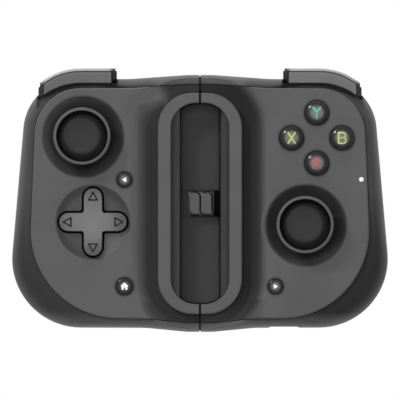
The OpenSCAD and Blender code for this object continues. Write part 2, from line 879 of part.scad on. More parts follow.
// dished thumb cap with a raised ring, on a dome that turns about the pivot
module stick_cap(at) {
  cap_r = cap_d / 2;
  dome_t = 0.8;
  skirt = 77;
  profile = [[0, -1], [3, -1], [4.2, 0], [cap_r - 1.4, 0.1], [cap_r - 0.4, 0.6], [cap_r, 1.5],
    [cap_r, 2.9], [cap_r - 0.12, 3.2], [cap_r - 0.35, 3.35], [cap_r - 0.9, 3.35],
    [cap_r - 1.1, 3.2], [cap_r - 1.5, 1.7], [cap_r - 2.2, 1.1], [cap_r - 3, 1.2],
    [cap_r - 3.5, 1.75], [cap_r - 4, 2], [cap_r - 6, 1.8], [0, 1.7]];
  difference() {
    union() {
      at_stick(at) difference() {
        sphere(r = dome_r, $fn = 96);
        sphere(r = dome_r - dome_t, $fn = 96);
        translate([0, 0, -dome_r - 1])
          cylinder(h = dome_r + 1 + dome_r * cos(skirt), r = dome_r + 1);
      }
      rod(at, 3, pivot_z + dome_r - 0.7, cap_z);
      translate([at[0], at[1], cap_z]) rotate_extrude($fn = 72) polygon(profile);
    }
    rod(at, shaft_r + pin_play, pivot_z, shaft_top + 0.6);
  }
}

module left_stick_base() { color(c_mid) stick_base(left_stick); }
module right_stick_base() { color(c_mid) stick_base(right_stick); }
module left_stick_yoke() { color(c_metal) stick_yoke(left_stick); }
module right_stick_yoke() { color(c_metal) stick_yoke(right_stick); }
module left_stick_rocker() { color(c_mid) stick_rocker(left_stick); }
module right_stick_rocker() { color(c_mid) stick_rocker(right_stick); }
module left_stick_cap() { color(c_dark) stick_cap(left_stick); }
module right_stick_cap() { color(c_dark) stick_cap(right_stick); }

// Direction pad on a smaller pair of tilting axes

dpad_z = 16;
dpad_axle = 0.7;
dpad_ring_in = 3.4;
dpad_ring_out = 4.9;
dpad_post = 6.5;
dpad_low = 18;

module dpad_base() {
  color(c_mid) translate([dpad_at[0], dpad_at[1], dpad_z]) difference() {
    union() {
      block(-dpad_post, dpad_post, -4, 4, board_top + seat - dpad_z, base_top - dpad_z);
      for (s = [0, 1]) mirror([s, 0, 0])
        block(dpad_ring_out + 0.4, dpad_post, -1.4, 1.4, board_top + seat - dpad_z, 1);
    }
    bar_x(dpad_axle + pin_play, -dpad_post - 1, dpad_post + 1);
  }
}

module dpad_ring() {
  ring_h = 2.2;
  color(c_metal) translate([dpad_at[0], dpad_at[1], dpad_z]) {
    difference() {
      translate([0, 0, -ring_h / 2]) difference() {
        cylinder(h = ring_h, r = dpad_ring_out);
        translate([0, 0, -1]) cylinder(h = ring_h + 2, r = dpad_ring_in);
      }
      bar_y(dpad_axle + pin_play, -dpad_ring_out - 1, dpad_ring_out + 1);
    }
    for (s = [0, 1]) mirror([s, 0, 0]) bar_x(dpad_axle, dpad_ring_out - 0.5, dpad_post - 0.2);
  }
}

module dpad() {
  face_r = 60;
  face_low = body_t + 0.8;
  color(c_mid) translate([dpad_at[0], dpad_at[1], 0]) {
    difference() {
      translate([0, 0, dpad_low]) linear_extrude(height = body_t + 2.2 - dpad_low)
        cross(arm_w, dpad_span);
      translate([0, 0, face_low + face_r]) sphere(r = face_r, $fn = 96);
    }
    translate([0, 0, dpad_z - 1.2]) cylinder(h = dpad_low + eps - dpad_z + 1.2, r = 2.4);
    translate([0, 0, dpad_z]) bar_y(dpad_axle, -dpad_ring_out + 0.2, dpad_ring_out - 0.2);
  }
}

// Push buttons, each held under the plate by its flange

button_foot = switch_top + 1;

module push_button(at, d, crown, edge) {
  r = d / 2 - play;
  flange = plate_under - 1.2;
  round_top = [for (a = [0 : 15 : 90]) [r * cos(a), edge + (crown - edge) * sin(a)]];
  translate([at[0], at[1], 0]) rotate_extrude()
    polygon(concat([[0, button_foot], [r * 0.7, button_foot], [r * 0.7, flange],
      [r + 0.9, flange], [r + 0.9, plate_under - 0.2], [r, plate_under - 0.2]], round_top));
}

module face_button(i) { push_button(face_spot(i), face_d, body_t + 2, body_t + 0.5); }
module small_button(at, d) { push_button(at, d, body_t + 0.7, body_t + 0.2); }

module view_button() { color(c_dark) small_button(view_at, small_d); }
module home_button() { color(c_dark) small_button(home_at, home_d); }
module menu_button() { color(c_dark) small_button(menu_at, small_d); }
module button_b() { color(c_dark) face_button(0); }
module button_y() { color(c_dark) face_button(1); }
module button_x() { color(c_dark) face_button(2); }
module button_a() { color(c_dark) face_button(3); }

// Shoulder parts

// bar between two leaning end faces
module lean_ends(x0, x1, z0, z1) {
  k = end_lean / (z1 - z0);
  translate([0, top_y + 9, 0]) rotate([90, 0, 0]) linear_extrude(height = bumper_r)
    polygon([[x0 - k, z0 - 1], [x1 + k, z0 - 1], [x1 - end_lean - k, z1 + 1], [x0 + end_lean + k, z1 + 1]]);
}

module bumper_body() {
  deep = bumper_r - 2.5 * bumper_w;
  soft = 0.25;
  profile = path([[deep, bumper_z], [bumper_r, bumper_z, 0.5, 3], [bumper_r, bumper_top, 1.4, 6],
    [deep, bumper_top]]);
  behind = [[0, bumper_z - 1], [bumper_r, bumper_z - 1], [bumper_r, bumper_top - soft],
    [bumper_r + 2 * soft, bumper_top + soft], [0, bumper_top + soft]];
  difference() {
    intersection() {
      band(profile, 65, bumper_end - bumper_at[0]);
      lean_ends(bumper_out, bumper_end, bumper_z, bumper_top);
    }
    translate([0, -bumper_w, 0]) band(behind, 100, bumper_end - bumper_at[0] + 1);
    rod(hinge_at, pin_r + pin_play, bumper_z - 1, bumper_top - 1.9);
  }
}

module left_bumper() { color(c_mid) bumper_body(); }
module right_bumper() { color(c_mid) flip() bumper_body(); }

// barrel on the pin, an arm, and a blade that follows the bumper's edge
module trigger_body() {
  y = trigger_pin[0];
  z = trigger_pin[1];
  face_r = bumper_r + trigger_out;
  profile = path([[bumper_r / 2, blade_low], [face_r - 1.9, blade_low, 0.8, 4],
    [face_r, z - 1, 5, 6], [face_r, blade_top, 0.8, 4],
    [bumper_r / 2, blade_top]]);
  arm = [[y, z + barrel_r], [blade_in + 1, blade_top - 0.2], [blade_in + 1, z - barrel_r - 1],
    [y, z - barrel_r]];
  difference() {
    union() {
      intersection() {
        band(profile, 65, bumper_end - bumper_at[0]);
        union() {
          block(bumper_out + end_play, bumper_end - end_play, blade_in, top_y + 9, 0, bumper_z);
          block(bumper_out + end_play, tip_end, tip_in, top_y + 9, 0, bumper_z);
        }
      }
      along_x(arm, trigger_x - trigger_w / 2, trigger_x + trigger_w / 2);
      translate([trigger_x, y, z]) bar_x(barrel_r, -trigger_w / 2, trigger_w / 2);
    }
    translate([trigger_x, y, z]) bar_x(pin_r + pin_play, -trigger_w, trigger_w);
  }
}

module left_trigger() { color(c_mid) trigger_body(); }
module right_trigger() { color(c_mid) flip() trigger_body(); }

module bumper_pin() { rod(hinge_at, pin_r, bay_top + 0.1, bumper_top - 2); }
module trigger_pin_body() {
  reach = bay_half + wall - 0.6;
  translate([trigger_x, trigger_pin[0], trigger_pin[1]]) bar_x(pin_r, -reach, reach);
}

module left_bumper_pin() { color(c_metal) bumper_pin(); }
module right_bumper_pin() { color(c_metal) flip() bumper_pin(); }
module left_trigger_pin() { color(c_metal) trigger_pin_body(); }
module right_trigger_pin() { color(c_metal) flip() trigger_pin_body(); }

// Telescoping bridge

sleeve_half = strap_w / 2 + run + sleeve_wall;

module strap_body() {
  head_l = 6;
  difference() {
    translate([0, mid_y, 0]) union() {
      block(-strap_l - strap_in, -strap_in, -strap_w / 2, strap_w / 2, strap_z, strap_z + strap_t);
      block(-strap_l - strap_in, head_l - strap_l - strap_in, -head_half, head_half, strap_z,
        strap_z + strap_t);
    }
    for (s = [-1, 1]) translate([0, mid_y + s * strap_w / 4, 0])
      block(9 - strap_l, -8, -1.5, 1.5, 0, strap_z + strap_t + 1);
  }
}

module left_strap() { color(c_metal) strap_body(); }
module right_strap() { color(c_metal) flip() strap_body(); }

module bridge_back() {
  color(c_shell) translate([0, mid_y, 0]) {
    block(-sleeve_l / 2, sleeve_l / 2, -sleeve_half, sleeve_half, sleeve_z, sleeve_z + sleeve_wall);
    for (s = [0, 1]) mirror([0, s, 0]) block(-sleeve_l / 2, sleeve_l / 2, sleeve_half - sleeve_wall,
      sleeve_half, sleeve_z, lid_z);
  }
}

module bridge_front() {
  color(c_shell) translate([0, mid_y, 0]) block(-sleeve_l / 2, sleeve_l / 2, -sleeve_half,
    sleeve_half, lid_z, lid_top);
}

module bridge_pad() {
  window = [-4.7, 4.7];
  inset = 0.35;
  color(c_dark) difference() {
    intersection() {
      for (s = [0, 1]) mirror([s, 0, 0])
        slab(slot_path(-inset, -inset, slot_r - inset, eps), lid_top, pad_top);
      block(-pad_w / 2, pad_w / 2, low_y, top_y, lid_top, pad_top);
    }
    translate([0, mid_y, 0]) block(-pad_w, pad_w, window[0], window[1], pad_top - 1, pad_top + 1);
  }
}

// Drawing

left_front_plate();
right_front_plate();
left_rear_shell();
right_rear_shell();
left_cradle_pad();
right_cradle_pad();
left_board();
right_board();
left_screws();
right_screws();
left_bumper_pin();
right_bumper_pin();
left_trigger_pin();
right_trigger_pin();
left_switches();
right_switches();
face_button_mat();
status_light();
charge_port();
plug_boot();
phone_plug();
left_stick_base();
right_stick_base();
dpad_base();
left_stick_yoke();
right_stick_yoke();
left_stick_rocker();
right_stick_rocker();
left_stick_cap();
right_stick_cap();
dpad_ring();
dpad();
view_button();
home_button();
menu_button();
button_a();
button_b();
button_x();
button_y();
left_bumper();
right_bumper();
left_trigger();
right_trigger();
left_strap();
right_strap();
bridge_back();
bridge_front();
bridge_pad();
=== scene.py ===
"""Looks of the telescoping phone gamepad: materials, printed legends, light and camera."""

import math

import bpy
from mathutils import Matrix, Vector
from mathutils.bvhtree import BVHTree


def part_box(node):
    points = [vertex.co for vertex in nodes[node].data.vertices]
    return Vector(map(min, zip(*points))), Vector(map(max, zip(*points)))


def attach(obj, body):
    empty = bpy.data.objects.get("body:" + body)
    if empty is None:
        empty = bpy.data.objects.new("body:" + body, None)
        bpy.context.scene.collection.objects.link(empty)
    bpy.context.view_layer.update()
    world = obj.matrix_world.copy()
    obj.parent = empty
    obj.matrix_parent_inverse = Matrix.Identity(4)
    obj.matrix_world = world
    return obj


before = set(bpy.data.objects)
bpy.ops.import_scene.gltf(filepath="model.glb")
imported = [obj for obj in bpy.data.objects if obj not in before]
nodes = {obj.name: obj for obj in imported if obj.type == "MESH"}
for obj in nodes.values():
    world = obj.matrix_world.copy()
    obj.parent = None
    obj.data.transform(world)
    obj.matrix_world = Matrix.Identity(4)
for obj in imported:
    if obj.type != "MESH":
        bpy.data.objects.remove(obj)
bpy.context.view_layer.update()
scene = bpy.context.scene

# The part's sizes and places are written in mm, and MM turns them to metres
MM = 0.001


# Colours, places and nodes

def linear(code):
    """sRGB hex text to linear RGBA."""
    out = []
    for i in (0, 2, 4):
        c = int(code[i:i + 2], 16) / 255
        out.append(c / 12.92 if c <= 0.04045 else ((c + 0.055) / 1.055) ** 2.4)
    return (*out, 1.0)


def middle(name):
    """Middle of a CAD node's box."""
    low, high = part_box(name)
    return (low + high) / (2 * MM)


def aside(at, x, y):
    """A point off another one."""
    return at + Vector((x, y, 0))


def put(tree, kind, values=None, links=None, **settings):
    """Adds one shader node with its constants, its incoming links and its settings."""
    node = tree.nodes.new(kind)
    for key, value in settings.items():
        setattr(node, key, value)
    for key, value in (values or {}).items():
        node.inputs[key].default_value = value
    for key, (source, output) in (links or {}).items():
        tree.links.new(source.outputs[output], node.inputs[key])
    return node


def fresh(name):
    """A new material, its node tree and its shader."""
    mat = bpy.data.materials.new(name)
    mat.use_nodes = True
    tree = mat.node_tree
    return mat, tree, tree.nodes["Principled BSDF"]


# Tones: recipes that multiply a material's colour by where a point of the piece lies at rest, mostly to
# paint light and shade into it

def along(axis, *steps):
    """Tone in steps of (mm, tone) along an axis."""
    return "ALONG", axis, steps


def rings(at, *steps):
    """Tone in steps of (mm, tone) by the distance from an upright axis."""
    return "RINGS", at, steps


def times(*tones):
    """Tones multiplied."""
    return "MULTIPLY", None, tones


def palest(*tones):
    """The palest of several tones at each point."""
    return "MAXIMUM", None, tones


def darkest(*tones):
    """The darkest of several tones at each point."""
    return "MINIMUM", None, tones


def blend(share, bare, full):
    """One tone where the share is 0, and the other where it is 1."""
    return "BLEND", None, (share, bare, full)


def stepped(tree, source, output, steps):
    """Nodes of a tone that follows steps of (mm, tone) along a length."""
    first, last = steps[0][0], steps[-1][0]
    way = put(tree, "ShaderNodeMapRange", {"From Min": first * MM, "From Max": last * MM},
              {"Value": (source, output)})
    band = put(tree, "ShaderNodeValToRGB", None, {"Fac": (way, "Result")})
    stops = band.color_ramp.elements
    for place, _ in steps[1:-1]:
        stops.new((place - first) / (last - first))
    for stop, (_, tone) in zip(stops, steps):
        stop.color = (tone, tone, tone, 1)
    return put(tree, "ShaderNodeRGBToBW", None, {"Color": (band, "Color")})


def toned(tree, place, recipe):
    """Nodes of a tone recipe: the first output of the last one holds the tone."""
    how, about, parts = recipe
    if how == "ALONG":
        split = put(tree, "ShaderNodeSeparateXYZ", None, {"Vector": (place, "Object")})
        return stepped(tree, split, about, parts)
    if how == "RINGS":
        off = put(tree, "ShaderNodeMapping",
                  {"Location": (-about[0] * MM, -about[1] * MM, 0), "Scale": (1, 1, 0)},
                  {"Vector": (place, "Object")})
        far = put(tree, "ShaderNodeVectorMath", None, {0: (off, "Vector")}, operation="LENGTH")
        return stepped(tree, far, "Value", parts)
    made, *others = [toned(tree, place, part) for part in parts]
    if how == "BLEND":
        bare, full = others
        return put(tree, "ShaderNodeMix", None, {"Factor": (made, 0), "A": (bare, 0), "B": (full, 0)})
    for other in others:
        made = put(tree, "ShaderNodeMath", None, {0: (made, 0), 1: (other, 0)}, operation=how)
    return made


# Kinds of material

# noise mostly stays in this band
NOISE_LOW, NOISE_HIGH = 0.3, 0.7
DRIFT_SIZE = 17
SHEEN_DRIFT = 0.04
COAT_ROUGH = 0.12
BEVEL_SAMPLES = 4
# dot of the softened and the true normal on a full edge
FULL_EDGE = 0.8
# painted shade on the edges that lean along a given vector: lean where it starts, lean where it is full,
# and its tone there
LEAN_START, LEAN_FULL, LEAN_SHADE = 0.05, 0.4, 0.25


def moulded(name, code, rough, grain, depth, edge=0.2, drift=0.05, coat=0.0, specular=0.5, edge_wear_shade=0.0,
            shade_lean=None, tone=None):
    """A moulded polymer: grain of the tool, softened edges, slow drift of tone and sheen.

    The grain is drawn coarser than a real tool's, so that it shows. A positive edge setting pales the edges
    as if worn, and a negative one darkens them as painted shade; the lean setting dims, as painted shade,
    the edges that lean along a vector; and tone is a recipe, mostly of painted light and shade."""
    mat, tree, shader = fresh(name)
    place = put(tree, "ShaderNodeTexCoord")
    fine = put(tree, "ShaderNodeTexNoise", {"Scale": 1 / (grain * MM), "Detail": 4.0, "Roughness": 0.65},
               {"Vector": (place, "Object")})
    wide = put(tree, "ShaderNodeTexNoise",
               {"Scale": 1 / (DRIFT_SIZE * MM), "Detail": 3.0, "Roughness": 0.5},
               {"Vector": (place, "Object")})
    shade = put(tree, "ShaderNodeMapRange",
                {"From Min": NOISE_LOW, "From Max": NOISE_HIGH, "To Min": 1 - drift, "To Max": 1 + drift},
                {"Value": (wide, "Fac")})
    soft = put(tree, "ShaderNodeBevel", {"Radius": edge * MM}, samples=BEVEL_SAMPLES)
    factors = []
    if edge_wear_shade or shade_lean:
        true = put(tree, "ShaderNodeNewGeometry")
        normals = {0: (soft, "Normal"), 1: (true, "Normal")}
    # edges paler as if worn above zero, and darker as painted shade below zero
    if edge_wear_shade:
        bend = put(tree, "ShaderNodeVectorMath", None, normals, operation="DOT_PRODUCT")
        edge_wear_shade_factor = put(tree, "ShaderNodeMapRange",
                     {"From Min": 1.0, "From Max": FULL_EDGE, "To Min": 1.0, "To Max": 1 + edge_wear_shade},
                     {"Value": (bend, "Value")})
        factors.append(edge_wear_shade_factor)
    # painted shade on the edges that lean along the given vector
    if shade_lean:
        edges = put(tree, "ShaderNodeVectorMath", None, normals, operation="SUBTRACT")
        lean = put(tree, "ShaderNodeVectorMath", {1: shade_lean}, {0: (edges, "Vector")}, operation="DOT_PRODUCT")
        lean_shade = put(tree, "ShaderNodeMapRange",
                     {"From Min": LEAN_START, "From Max": LEAN_FULL, "To Min": 1.0, "To Max": LEAN_SHADE},
                     {"Value": (lean, "Value")})
        factors.append(lean_shade)
    if tone:
        factors.append(toned(tree, place, tone))
    for factor in factors:
        shade = put(tree, "ShaderNodeMath", None, {0: (shade, 0), 1: (factor, 0)}, operation="MULTIPLY")
    paint = put(tree, "ShaderNodeHueSaturation", {"Color": linear(code)}, {"Value": (shade, 0)})
    sheen = put(tree, "ShaderNodeMapRange",
                {"From Min": NOISE_LOW, "From Max": NOISE_HIGH,
                 "To Min": rough - SHEEN_DRIFT, "To Max": rough + SHEEN_DRIFT},
                {"Value": (wide, "Fac")})
    bump = put(tree, "ShaderNodeBump", {"Strength": 1.0, "Distance": depth * MM},
               {"Height": (fine, "Fac"), "Normal": (soft, "Normal")})
    shader.inputs["Coat Weight"].default_value = coat
    shader.inputs["Coat Roughness"].default_value = COAT_ROUGH
    shader.inputs["Specular IOR Level"].default_value = specular
    tree.links.new(paint.outputs["Color"], shader.inputs["Base Color"])
    tree.links.new(sheen.outputs["Result"], shader.inputs["Roughness"])
    tree.links.new(bump.outputs["Normal"], shader.inputs["Normal"])
    return mat


METAL_EDGE = 0.15
METAL_SHEEN = 0.08
# the drawn lines are about 17 times as long as they are wide
DRAWN_OUT = 0.06


def metal(name, code, rough, brush):
    """Plated metal with drawn lines along X, brush wide: coarser than real ones, so that they show."""
    mat, tree, shader = fresh(name)
    place = put(tree, "ShaderNodeTexCoord")
    drawn = put(tree, "ShaderNodeMapping", {"Scale": (DRAWN_OUT, 1.0, 1.0)}, {"Vector": (place, "Object")})
    lines = put(tree, "ShaderNodeTexNoise", {"Scale": 1 / (brush * MM), "Detail": 3.0},
                {"Vector": (drawn, "Vector")})
    sheen = put(tree, "ShaderNodeMapRange", {"To Min": rough - METAL_SHEEN, "To Max": rough + METAL_SHEEN},
                {"Value": (lines, "Fac")})
    soft = put(tree, "ShaderNodeBevel", {"Radius": METAL_EDGE * MM}, samples=BEVEL_SAMPLES)
    shader.inputs["Base Color"].default_value = linear(code)
    shader.inputs["Metallic"].default_value = 1.0
    tree.links.new(sheen.outputs["Result"], shader.inputs["Roughness"])
    tree.links.new(soft.outputs["Normal"], shader.inputs["Normal"])
    return mat


INK_SPECK = 0.2
INK_SATIN, INK_MATT = 0.4, 0.6


def ink(name, code, glow=0.0):
    """Printed legend: flat colour, slightly satin, and glow gives it a little emission as painted light."""
    mat, tree, shader = fresh(name)
    place = put(tree, "ShaderNodeTexCoord")
    speck = put(tree, "ShaderNodeTexNoise", {"Scale": 1 / (INK_SPECK * MM), "Detail": 2.0},
                {"Vector": (place, "Object")})
    sheen = put(tree, "ShaderNodeMapRange", {"To Min": INK_SATIN, "To Max": INK_MATT},
                {"Value": (speck, "Fac")})
    shader.inputs["Base Color"].default_value = linear(code)
    shader.inputs["Emission Color"].default_value = linear(code)
    shader.inputs["Emission Strength"].default_value = glow
    tree.links.new(sheen.outputs["Result"], shader.inputs["Roughness"])
    return mat


# Tones of the pieces: painted shade makes hollows and the foot of each wall darker than open faces, and
# gaps are dark lines

LEFT, RIGHT = -1, 1
STICK_L, STICK_R = middle("left_stick_cap"), middle("right_stick_cap")
PAD = middle("dpad")
# radii of the buttons, and of the pale middle of a button's lens
SMALL_BUTTON, HOME_BUTTON, FACE_BUTTON = 2.8, 3.15, 4.375
SMALL_CORE, FACE_CORE = 0.8, 1.8
# hubs of the painted shade round the slot's lower corner and of the painted shadow under the bumper, on the
# right: the left mirrors them
SLOT_CORNER_X, SLOT_CORNER_Y = 8.0, -34.0
BUMPER_HUB_X, BUMPER_HUB_Y = 37.8, 6.8
# tones of the seam between the halves
PLATE_SEAM, SHELL_SEAM = 0.4, 0.5
# painted shade in the rings of a stick well and of the pad's dish, each with the mask that keeps the
# valley's tone out of it
WELL_SHADE = [(0.0, 0.0), (13.0, 0.2), (13.9, 0.3), (14.3, 0.6), (14.75, 1.0), (15.4, 1.0)]
IN_WELL = [(0.0, 1.0), (15.4, 1.0), (15.8, 0.0)]
DISH_SHADE = [(0.0, 0.68), (9.0, 0.66), (11.0, 0.56), (12.9, 0.48), (13.3, 1.0)]
IN_DISH = [(0.0, 1.0), (13.4, 1.0), (13.8, 0.0)]


def contact_shadow(node, radius):
    """Painted contact shadow: a dark ring round a button."""
    return rings(middle(node), (0.0, 0.55), (radius + 0.2, 0.62), (radius + 0.9, 1.0))


def seam(tone):
    """Dark line where the two halves meet."""
    return along("X", (-0.55, 1.0), (-0.35, tone), (0.35, tone), (0.55, 1.0))


def valley_foot_light_shade(side, *steps):
    """Rings of painted light and shade round the lower corner of the slot on one side, and none further up
    or in the middle.
    """
    most = steps[-1][1]
    return palest(
        rings((side * SLOT_CORNER_X, SLOT_CORNER_Y), *steps),
        along("Y", (SLOT_CORNER_Y - 2.5, 0.0), (SLOT_CORNER_Y - 0.5, most)),
        along("X", *sorted([(side * (SLOT_CORNER_X + 3.0), 0.0), (side * (SLOT_CORNER_X + 1.5), most)])))


def left_plate_light_and_shade():
    """Painted light and shade: valley round the slot, paler in its top corner; stick well and pad dish,
    each paler on one side; contact shadows round the buttons; and the dark seam.
    """
    valley = along("Z", (18.0, 0.25), (18.43, 0.49), (19.5, 0.86), (20.8, 1.2), (21.6, 1.15), (21.85, 1.07),
                   (22.0, 1.0))
    foot = valley_foot_light_shade(LEFT, (7.6, 1.3), (8.2, 0.42), (9.7, 0.45), (10.8, 0.58), (11.4, 0.74),
                          (12.2, 0.8), (13.5, 1.3))
    corner = darkest(
        along("X", (-14.6, 1.5), (-13.8, 1.05), (-12.4, 0.68), (-11.0, 0.38), (-10.0, 0.3)),
        along("Y", (25.0, 0.2), (29.0, 1.0), (33.0, 1.15), (34.5, 1.55)),
        along("Z", (20.0, 1.55), (21.3, 1.5), (21.8, 1.2), (22.0, 1.0)),
        rings((-9, 24), (0.0, 0.2), (9.5, 0.3), (11.5, 0.67), (12.3, 0.92), (13.0, 1.25), (13.9, 1.55)))
    face = palest(darkest(valley, foot), corner, rings(STICK_L, *IN_WELL), rings(PAD, *IN_DISH))
    well = palest(
        rings(aside(STICK_L, 0.4, -0.2), *WELL_SHADE),
        rings(aside(STICK_L, 7, -3), (0.0, 0.12), (7.0, 0.13), (11.8, 0.19), (16.8, 0.26), (19.7, 0.41),
              (22.0, 0.44)))
    dish = palest(rings(PAD, *DISH_SHADE), rings(aside(PAD, 10, -10), (0.0, 1.0), (6.0, 0.95), (9.5, 0.3)))
    return times(face, well, dish, seam(PLATE_SEAM), contact_shadow("view_button", SMALL_BUTTON),
                 contact_shadow("home_button", HOME_BUTTON))


def right_plate_painted_shade():
    """Painted shade: valley round the slot, darker on this side and paler at its ends; stick well; contact
    shadows round the buttons; and the dark seam.
    """
    valley = along("Z", (18.0, 0.17), (18.5, 0.24), (19.6, 0.42), (20.7, 0.78), (21.5, 1.0))
    ends = along("Y", (-42.0, 0.36), (-36.0, 0.24), (-28.0, 0.15), (30.0, 0.15), (36.0, 0.17), (41.0, 0.22))
    outside = along("X", (25.0, 0.0), (29.0, 1.0))
    foot = valley_foot_light_shade(RIGHT, (8.0, 1.0), (10.0, 0.75), (12.5, 0.64), (13.5, 0.74), (14.2, 0.82),
                          (16.0, 1.0))
    face = palest(valley, ends, rings(STICK_R, *IN_WELL), outside)
    well = palest(
        rings(aside(STICK_R, 0.35, -0.25), *WELL_SHADE),
        rings(aside(STICK_R, -2, 8), (0.0, 0.25), (8.0, 0.25), (13.0, 0.2), (18.3, 0.18), (20.0, 0.24),
              (20.7, 0.36)))
    contact_shadows = [contact_shadow("button_" + letter, FACE_BUTTON) for letter in "abxy"]
    return times(face, foot, well, seam(PLATE_SEAM), contact_shadow("menu_button", SMALL_BUTTON), *contact_shadows)


# painted light and shade where the valley runs out through the shell: the hub of its rings on Y, its reach
# along Y, and its rings
RUN_OUT_LIGHT_SHADE = [
    (-17.6, [(39.6, 0.0), (40.4, 1.0)],
     [(58.3, 0.85), (59.2, 1.1), (59.75, 1.5), (60.05, 1.25), (60.3, 0.78), (61.5, 1.0)]),
    (7.85, [(-42.2, 1.0), (-41.5, 0.0)],
     [(51.2, 0.64), (51.7, 0.82), (52.4, 1.06), (52.75, 1.1), (53.0, 0.85), (54.5, 0.8)]),
]


def shell_light_and_shade(side, corner, edge_end):
    """Painted shade: the shell darkens towards the plate, most of all at its lower corner, and a painted
    shadow lies under the bumper.

    corner holds the steps of the lower corner along Z, and the bottom edge is paler up to edge_end."""
    upper = along("Z", (12.0, 0.95), (15.0, 0.8), (20.5, 0.56))
    edge = along("Z", (12.0, 0.85), (16.0, 0.8), (20.5, 0.7))
    low_share = along("Y", (-24.0, 1.0), (-14.0, 0.85), (4.0, 0.0))
    edge_share = along("Y", (-42.0, 1.0), (edge_end, 0.0))
    whole = blend(edge_share, blend(low_share, upper, along("Z", *corner)), edge)
    for hub, reach, steps in RUN_OUT_LIGHT_SHADE:
        share = times(along("X", (-18.0, 0.0), (-14.0, 1.0), (14.0, 1.0), (18.0, 0.0)),
                      along("Y", *reach), along("Z", (12.5, 0.0), (15.0, 1.0)))
        whole = blend(share, whole, rings((0, hub), *steps))
    shadow = palest(
        rings((side * BUMPER_HUB_X, BUMPER_HUB_Y), (32.6, 1.0), (32.9, 0.8), (33.25, 0.54), (33.6, 0.32),
              (34.2, 0.32), (35.5, 1.0)),
        along("Y", (35.5, 1.0), (37.0, 0.0)))
    return times(whole, seam(SHELL_SEAM), shadow)


def socket_dent_shade():
    """Painted shade in a dent in the bottom edge, round the charge socket."""
    mid = middle("charge_port").x
    across = along("X", (mid - 6.6, 1.0), (mid - 5.6, 0.45), (mid + 5.6, 0.45), (mid + 6.6, 1.0))
    return palest(across, along("Y", (-44.6, 0.45), (-44.2, 0.45), (-43.9, 1.0)))


def bumper_painted_shade(node):
    """Painted shade: dark leaning end faces and a dark line along the upper edge."""
    low, high = (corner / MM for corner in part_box(node))
    ends = along("X", (low.x, 0.04), (low.x + 1.9, 0.04), (low.x + 2.05, 1.0), (high.x - 2.05, 1.0),
                 (high.x - 1.9, 0.04), (high.x, 0.04))
    lip = along("Z", (low.z, 0.6), (high.z - 1.2, 0.55), (high.z - 0.8, 0.25), (high.z - 0.42, 0.25),
                (high.z - 0.25, 1.0), (high.z, 1.0))
    return times(ends, lip)


def trigger_highlight_and_shade():
    """Painted highlight on the upper edge, with painted shade below it and at the ends."""
    edge = along("Z", (7.6, 0.2), (9.0, 0.45), (9.8, 1.0), (10.4, 1.0))
    ends = along("X", (-56.0, 0.1), (-54.0, 1.0), (-32.0, 1.0), (-30.5, 0.15), (30.5, 0.15), (32.0, 1.0),
                 (54.0, 1.0), (56.0, 0.1))
    return times(edge, ends)


def cap_tone_and_groove_shade(node):
    """Grey ring, a groove painted near black as shade, and a darker dished centre."""
    return rings(middle(node), (0.0, 0.37), (5.0, 0.35), (6.4, 0.26), (7.5, 0.06), (8.9, 0.015),
                 (9.05, 1.0), (10.1, 1.0))


def lens_tone(node, core):
    """Lens pale in the middle out to the given radius, and dark beyond."""
    return rings(middle(node), (0.0, 1.0), (core, 0.95), (core + 1.0, 0.2), (core + 1.6, 0.13), (4.4, 0.13))


# painted shade of the shell's lower corners, in steps along Z
LEFT_CORNER_SHADE = [(12.0, 0.6), (14.0, 0.45), (17.0, 0.37), (20.5, 0.36)]
RIGHT_CORNER_SHADE = [(12.0, 0.66), (13.2, 0.4), (17.0, 0.28), (20.5, 0.25)]
# painted light and shade across the slot linings
LEFT_LINING_LIGHT_SHADE = along("X", (-10.3, 0.34), (-9.6, 0.34), (-9.0, 0.66), (-8.2, 1.02), (-7.5, 1.35),
                         (-7.0, 1.6))
RIGHT_LINING_LIGHT_SHADE = along("X", (7.0, 0.5), (7.2, 0.54), (7.5, 1.3), (8.0, 1.2), (9.0, 0.97), (9.3, 0.8),
                          (9.65, 0.52), (10.3, 0.6))
# painted shade on the bridge pad, darker towards the walls
PANEL_SHADE = along("X", (-6.8, 0.6), (-5.0, 0.75), (-3.5, 0.9), (0.0, 0.97), (4.5, 0.9), (5.9, 0.82),
                   (6.8, 0.6))
# painted light and shade on the direction pad: paler towards the upper left, darker towards the ends of the
# arms
CROSS_LIGHT_SHADE = rings(aside(PAD, -1.5, 1.5), (0.0, 1.0), (4.0, 0.97), (7.0, 0.88), (9.5, 0.66), (11.0, 0.52),
                   (13.0, 0.45))
PLUG_TONE = along("X", (-4.2, 1.0), (3.9, 1.0), (4.1, 0.4), (8.0, 0.4))
# painted light: the lit middle of the status light
LIGHT_PAINTED_GLOW = rings(middle("status_light"), (0.0, 1.0), (0.65, 1.0), (0.92, 0.2), (1.1, 0.2))


# Materials, each named for what the real piece is made of

# plates: the edges are darkened, and those that lean towards +Y dimmed further, as painted shade
PLATE_FINISH = dict(code="5f5f60", rough=0.6, grain=0.22, depth=0.006, edge=0.3, specular=0.3, edge_wear_shade=-0.3,
                    shade_lean=(0, 1, 0))
SHELL_FINISH = dict(code="5c5c5d", rough=0.5, grain=0.45, depth=0.03, specular=0.4)
BUMPER_FINISH = dict(rough=0.55, grain=0.2, depth=0.004, edge=0.25, specular=0.05, edge_wear_shade=0.15)
CAP_FINISH = dict(code="5f5f60", rough=0.6, grain=0.15, depth=0.006, specular=0.25)
LINING_FINISH = dict(rough=0.66, grain=0.3, depth=0.01, drift=0.07)
LENS_FINISH = dict(code="7c7c7d", rough=0.25, grain=0.3, depth=0.001, coat=0.6, specular=0.3)

